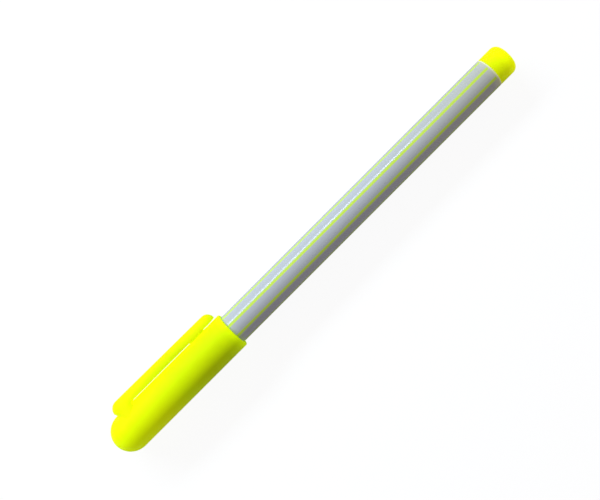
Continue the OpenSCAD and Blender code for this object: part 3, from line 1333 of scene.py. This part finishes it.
@dataclass
class PocketClip:
    """The clip: one round-backed bar with a flat inner face, its root on the cap and its gripping bump."""

    stations: Stations
    steps: int = 64
    round_steps: int = 16
    nose_from_end: float = 5.2
    nose_r: float = 2.35
    tip_r: float = 2.1
    flat_gap: float = 0.45
    notch_height: float = 0.8
    root_in: float = 0.4
    root_sink: float = 0.15
    root_rows: int = 8
    root_steps: int = 5
    root_floor_r: float = 4.4
    bump_back: float = 6.2
    bump_len: float = 5.4
    bump_ramp: float = 0.7
    bump_steps: int = 4
    bump_half_width: float = 1.5
    edge: float = 0.15
    bend_len: float = 6.0

    @property
    def nose(self) -> float:
        """Station of the clip's nose."""
        return self.stations.cap_end + self.nose_from_end

    @property
    def root(self) -> float:
        """Station where the root starts."""
        return self.nose + self.root_in

    @property
    def flat(self) -> float:
        """Height of the flat inner face."""
        return self.stations.cap_r + self.flat_gap

    @property
    def axis(self) -> float:
        """Height of the bar's round axis."""
        return self.stations.clip_outer - self.nose_r

    @property
    def root_lean(self) -> float:
        """Slope of the root's sides, as an angle from the upright that runs smoothly from bar to cap."""
        return math.asin((self.stations.cap_r - self.root_sink - self.nose_r) / self.axis)

    @property
    def root_top(self) -> float:
        """Height where the root's sides leave the bar's round."""
        return self.axis + self.nose_r * math.sin(self.root_lean)

    @property
    def root_foot(self) -> float:
        """Height of the root's foot, sunk into the cap's side."""
        return (self.stations.cap_r - self.root_sink) * math.sin(self.root_lean)

    @property
    def bump(self) -> float:
        """Station of the gripping bump's middle."""
        return self.stations.clip_tip - self.bump_back

    def bump_rows(self) -> list[float]:
        """Place the rows that shape the bump.

        Returns:
            Their stations, up one slope and down the other.
        """
        steps = range(self.bump_steps + 1)
        rise = [-self.bump_len / 2 + self.bump_ramp * k / self.bump_steps for k in steps]
        return [self.bump + x for x in (*rise, *(-x for x in reversed(rise)))]

    def bump_drop(self, x: float) -> float:
        """Work out how far the bump stands below the flat face, easing in and out of its slopes.

        Args:
            x: The station.

        Returns:
            The drop in millimetres.
        """
        inside = (self.bump_len / 2 - abs(x - self.bump)) / self.bump_ramp
        share = min(max(inside, 0.0), 1.0)
        return (self.flat - self.stations.bump_low) * share * share * (3 - 2 * share)

    def bar_half_width(self, height: float) -> float:
        """Half the bar's width at a height, on its full-round stretch."""
        return math.sqrt(self.nose_r**2 - (self.axis - height) ** 2)

    def root_half_width(self, height: float) -> float:
        """Half the root's width at a height, widening from the bar's side down to the foot."""
        top_half_width = self.nose_r * math.cos(self.root_lean)
        return top_half_width + math.tan(self.root_lean) * (self.root_top - height)

    def root_share(self, x: float) -> float:
        """Share of the root's full spread at a station: none at its two ends and all of it in its middle."""
        along = 2 * (x - self.root) / (self.stations.flex - self.root) - 1
        return max(1 - along * along, 0.0)

    def outline(self) -> list[Point]:
        """Draw the bar as a round rod in section, with rows where its root and bump are shaped.

        Returns:
            Points from the nose to the tip, with radii about the bar's own axis.
        """
        s = self.stations
        nose_x = self.nose + self.nose_r
        tip_x = s.clip_tip - self.tip_r
        root_step = (s.flex - nose_x) / self.root_rows
        rows = [nose_x + root_step * (number + 1) for number in range(self.root_rows)]
        rows += [s.flex + self.bend_len / 3, s.flex + self.bend_len, *self.bump_rows()]
        slope = (self.tip_r - self.nose_r) / (tip_x - nose_x)
        nose = arc((nose_x, 0.0), self.nose_r, 180, 90, self.round_steps)
        bar = [(x, self.nose_r + slope * (x - nose_x)) for x in rows]
        tip = arc((tip_x, 0.0), self.tip_r, 90, 0, self.round_steps)
        return nose + bar + tip

    def build(self, finishes: Finishes) -> list[Object]:
        """Model the clip.

        Its plastic lets the light through to the cap, so it throws no shadow of its own.

        Args:
            finishes: The pen's materials.

        Returns:
            The pieces.
        """
        s = self.stations
        clip = Bench.lathe("clip_arm", self.outline(), self.steps, axis_y=self.axis)
        self.level(clip, s.cap_r + self.notch_height, self.nose - self.edge, self.root)
        self.level(clip, self.flat, self.root, s.clip_tip)
        self.shape_bump(clip)
        self.grow_root(clip)
        self.spread_root(clip)
        Bench.soften_edges(clip, self.edge, sharper_than=40.0)
        self.hollow_root(clip)
        finishes.dress(clip, Slot.YELLOW, finishes.clip_yellow, smooth=35.0)
        clip.visible_shadow = False
        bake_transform(clip)
        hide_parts("pocket_clip")
        return [clip]

    @staticmethod
    def level(clip: Object, height: float, start: float, end: float) -> None:
        """Press the bar's underside flat along a stretch.

        Args:
            clip: The clip's bar.
            height: Height of the flat.
            start: Station where the stretch starts.
            end: Station where it ends.
        """
        Bench.pick_points(clip, lambda p: p.y < height and start <= p.x <= end)
        bpy.ops.transform.resize(value=(1, 0, 1), center_override=(0, height * MM, 0))
        Bench.leave()

    def on_bump(self, place: Vector, row: float) -> bool:
        """Whether a point of the flat face, in millimetres, belongs to one of the bump's rows."""
        near = is_near(place.x, row) and is_near(place.y, self.flat)
        return near and abs(place.z) < self.bump_half_width

    def shape_bump(self, clip: Object) -> None:
        """Draw the bump out of the flat face, row by row.

        Args:
            clip: The clip's bar.
        """
        for row in self.bump_rows():
            Bench.pick_points(clip, lambda p: self.on_bump(p, row))
            bpy.ops.transform.translate(value=(0, -self.bump_drop(row) * MM, 0))
            Bench.leave()

    def over_root(self, centre: Vector, normal: Vector) -> bool:
        """Whether a face of the flat lies over the root, by its centre in millimetres and its normal."""
        under = is_near(centre.y, self.flat) and normal.y < -FACING
        return under and self.root < centre.x < self.stations.flex

    def grow_root(self, clip: Object) -> None:
        """Draw the root straight out of the flat face into the cap's side.

        Args:
            clip: The clip's bar.
        """
        Bench.pick_faces(clip, self.over_root)
        step = (self.flat - self.root_foot) / self.root_steps
        for _ in range(self.root_steps):
            bpy.ops.mesh.extrude_region_move(TRANSFORM_OT_translate={"value": (0, -step * MM, 0)})
        Bench.close_up()
        Bench.leave()

    def spread_root(self, clip: Object) -> None:
        """Spread the sides over the root, row by row, so that they run smoothly from the bar to the cap.

        Args:
            clip: The clip with its root.
        """
        for row in [x for x, _ in self.outline() if self.root < x < self.stations.flex - SAME_ROW]:
            points = [p.co / MM for p in clip.data.vertices]
            heights = {round(p.y, 3) for p in points if is_near(p.x, row) and p.y < self.root_top}
            for height in sorted(heights):
                plain = self.bar_half_width(max(height, self.flat))
                wider = 1 + self.root_share(row) * (self.root_half_width(height) / plain - 1)
                Bench.pick_points(clip, lambda p: is_near(p.x, row) and is_near(p.y, height, SAME_HEIGHT))
                bpy.ops.transform.resize(value=(1, 1, wider), center_override=(0, 0, 0))
                Bench.leave()

    def hollow_root(self, clip: Object) -> None:
        """Cut the root's underside round, so that it ends inside the cap's wall.

        Args:
            clip: The clip with its root.
        """
        start, end = self.nose - self.nose_r, self.stations.flex + self.nose_r
        section = [(start, 0.0), (start, self.root_floor_r), (end, self.root_floor_r), (end, 0.0)]
        Bench.carve(clip, Bench.lathe("root_core", section, self.steps))


@dataclass
class Studio:
    """The white floor, the soft key light, the even fill and the camera of the photograph."""

    stations: Stations
    floor_size: float = 4000.0
    key_power: float = 2.35
    key_distance: float = 500.0
    key_lean: float = 61.0
    key_length: float = 420.0
    key_width: float = 70.0
    key_shift: float = -110.0
    key_colour: Colour = (0.90, 1.06, 1.16)
    fill: float = 0.30
    fill_colour: Colour = (1.03, 0.945, 1.0)
    floor_shade: float = 0.13
    floor_glow: float = 0.92
    floor_gloss_shade: float = 0.35
    floor_gloss_glow: float = 0.05
    floor_bounce: float = 0.9
    camera_lean: float = 8.8
    camera_distance: float = 247.0
    camera_aim: Point = (-19.3, 2.15)
    camera_view: float = 33.4
    camera_near: float = 10.0
    pen_slope: float = 45.0

    def build(self) -> None:
        """Set the whole stage."""
        self.build_floor()
        self.build_world()
        self.build_key()
        self.build_camera()
        bpy.context.scene.view_settings.view_transform = "Standard"

    def build_floor(self) -> None:
        """Lay a white floor that just clears the cap's mouth and the tail plug."""
        s = self.stations
        bpy.ops.object.select_all(action="DESELECT")
        bpy.ops.mesh.primitive_plane_add(size=self.floor_size * MM)
        floor = bpy.context.object
        floor.name = "floor"
        rise = (s.cap_r - s.plug_r) / (s.plug_end - s.mouth)
        floor.data.transform(Matrix.Rotation(-math.atan(rise), 4, "Y"))
        floor.data.transform(Matrix.Translation((0, 0, (-s.cap_r - rise * s.mouth) * MM)))
        floor.data.materials.append(self.floor_material())

    def floor_material(self) -> Material:
        """White to the camera with a light shadow, deeper in gloss, and a plain pale bounce to the pen.

        Returns:
            The floor's material.
        """
        board = NodeBoard(bpy.data.materials.new("white_floor"))
        board.tree.nodes.remove(board.surface)
        path = board.add("LightPath")
        seen = board.add("Math", operation="MAXIMUM")
        board.join(path.outputs["Is Camera Ray"], seen.inputs[0])
        board.join(path.outputs["Is Transmission Ray"], seen.inputs[1])
        bounce = board.add("BsdfDiffuse")
        bounce.inputs["Color"].default_value = (*(self.floor_bounce,) * 3, 1.0)
        in_gloss = self.glowing_paper(board, self.floor_gloss_shade, self.floor_gloss_glow)
        in_view = self.glowing_paper(board, self.floor_shade, self.floor_glow)
        unseen = board.choose(path.outputs["Is Glossy Ray"], bounce.outputs["BSDF"], in_gloss)
        shader = board.choose(seen.outputs["Value"], unseen, in_view)
        board.join(shader, board.output.inputs["Surface"])
        return board.owner

    @staticmethod
    def glowing_paper(board: NodeBoard, shade: float, glow: float) -> NodeSocket:
        """White paper that is part lit by the lamps and part bright by itself.

        Args:
            board: The node tree to add to.
            shade: Share that the lamps light.
            glow: Brightness of its own.

        Returns:
            The shader's socket.
        """
        lit = board.add("BsdfDiffuse")
        lit.inputs["Color"].default_value = (shade, shade, shade, 1.0)
        bright = board.add("Emission")
        bright.inputs["Strength"].default_value = glow
        both = board.add("AddShader")
        board.join(lit.outputs["BSDF"], both.inputs[0])
        board.join(bright.outputs["Emission"], both.inputs[1])
        return both.outputs["Shader"]

    def build_world(self) -> None:
        """Light the pen evenly from all round, and show white behind it."""
        bpy.context.scene.world = bpy.data.worlds.new("studio")
        board = NodeBoard(bpy.context.scene.world)
        board.set(Color=self.fill_colour, Strength=self.fill)
        white = board.add("Background")
        white.inputs["Color"].default_value = (1.0, 1.0, 1.0, 1.0)
        in_view = board.add("LightPath").outputs["Is Camera Ray"]
        shader = board.choose(in_view, board.surface.outputs["Background"], white.outputs["Background"])
        board.join(shader, board.output.inputs["Surface"])

    def build_key(self) -> None:
        """Hang a long soft light on the clip's side."""
        lean = math.radians(self.key_lean)
        lamp = bpy.data.lights.new("key", "AREA")
        lamp.shape = "RECTANGLE"
        lamp.size = self.key_length * MM
        lamp.size_y = self.key_width * MM
        lamp.energy = self.key_power
        lamp.color = self.key_colour
        key = bpy.data.objects.new("key", lamp)
        bpy.context.scene.collection.objects.link(key)
        away = Vector((0.0, math.sin(lean), math.cos(lean)))
        key.location = away * (self.key_distance * MM) + Vector((self.key_shift * MM, 0.0, 0.0))
        side = Vector((1.0, 0.0, 0.0))
        up = away.cross(side)
        key.rotation_euler = Matrix((side, up, away)).transposed().to_euler()

    def build_camera(self) -> None:
        """Look down on the pen as the photograph does, with the pen rising to the right."""
        lean = math.radians(self.camera_lean)
        slope = math.radians(self.pen_slope)
        along = Vector((1.0, 0.0, 0.0))
        across = Vector((0.0, math.cos(lean), -math.sin(lean)))
        back = along.cross(across)
        right = along * math.cos(slope) - across * math.sin(slope)
        up = along * math.sin(slope) + across * math.cos(slope)
        data = bpy.data.cameras.new("photo_camera")
        data.lens = data.sensor_width / 2 / math.tan(math.radians(self.camera_view / 2))
        data.clip_start = self.camera_near * MM
        camera = bpy.data.objects.new("photo_camera", data)
        bpy.context.scene.collection.objects.link(camera)
        aim = along * (self.camera_aim[0] * MM) + across * (self.camera_aim[1] * MM)
        place = aim + back * (self.camera_distance * MM)
        turn = Matrix((right, up, back)).transposed().to_4x4()
        camera.matrix_world = Matrix.Translation(place) @ turn
        bpy.context.scene.camera = camera


def main() -> None:
    """Build every piece in order, dress the inner nodes and set the stage."""
    logging.basicConfig(level=logging.INFO)
    stations = Stations.from_frame()
    finishes = Finishes.mix(stations)
    for maker in (Barrel, TailPlug, WritingEnd, Cap, PocketClip):
        for piece in maker(stations).build(finishes):
            LOG.info("built %s with %d faces", piece.name, len(piece.data.polygons))
    for node in ("inner_cap", "reservoir_core", "reservoir_wrap"):
        finishes.dress_node(node)
    Studio(stations).build()
    bpy.context.view_layer.update()


if __name__ == "__main__":
    main()
